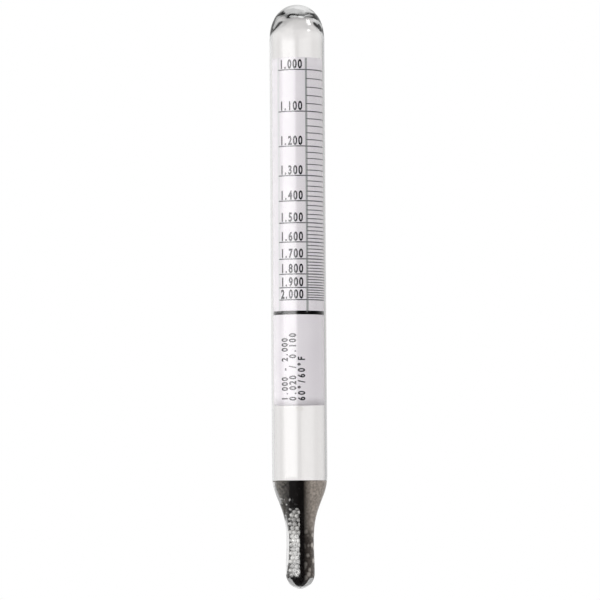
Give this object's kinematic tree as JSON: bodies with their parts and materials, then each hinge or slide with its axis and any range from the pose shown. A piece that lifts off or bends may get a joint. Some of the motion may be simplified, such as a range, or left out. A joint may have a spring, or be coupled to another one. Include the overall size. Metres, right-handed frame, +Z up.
{
  "type": "hydrometer",
  "caption": "Sealed glass tube hydrometer with a rolled paper specific gravity scale inside and a drawn-down finger ballasted with bound lead shot.",
  "frame": {"origin": "on the glass tube's axis at the 1.000 graduation, where the surface of pure water lies when the instrument floats", "axes": "+Z up along the tube's axis, towards the sealed top; the scale's numbers face -Y; the paper's lap is at +Y"},
  "size_m": [0.0156, 0.0156, 0.165],
  "materials": {
    "glass": "gloss",
    "paper": "matte",
    "ink": "matte",
    "adhesive": "satin",
    "lead": "satin",
    "resin": "gloss"
  },
  "bodies": {
    "root": {"stem_tube": "glass", "sealed_top": "glass", "ballast_bulb": "glass", "scale_paper": "paper", "adhesive_dab_upper": "adhesive", "adhesive_dab_lower": "adhesive", "shot_bed": "lead", "binder_layer": "resin", "shot_01": "lead", "shot_02": "lead", "shot_03": "lead", "shot_04": "lead", "shot_05": "lead", "shot_06": "lead", "shot_07": "lead", "shot_08": "lead", "shot_09": "lead", "shot_10": "lead", "shot_11": "lead", "shot_12": "lead", "shot_13": "lead", "shot_14": "lead", "shot_15": "lead", "shot_16": "lead", "shot_17": "lead", "shot_18": "lead", "shot_19": "lead", "shot_20": "lead", "shot_21": "lead", "shot_22": "lead", "shot_23": "lead", "shot_24": "lead", "shot_25": "lead", "shot_26": "lead", "shot_27": "lead", "shot_28": "lead", "shot_29": "lead", "shot_30": "lead", "shot_31": "lead", "shot_32": "lead", "shot_33": "lead", "shot_34": "lead", "shot_35": "lead", "shot_36": "lead", "shot_37": "lead", "shot_38": "lead", "shot_39": "lead"}
  },
  "joints": []
}
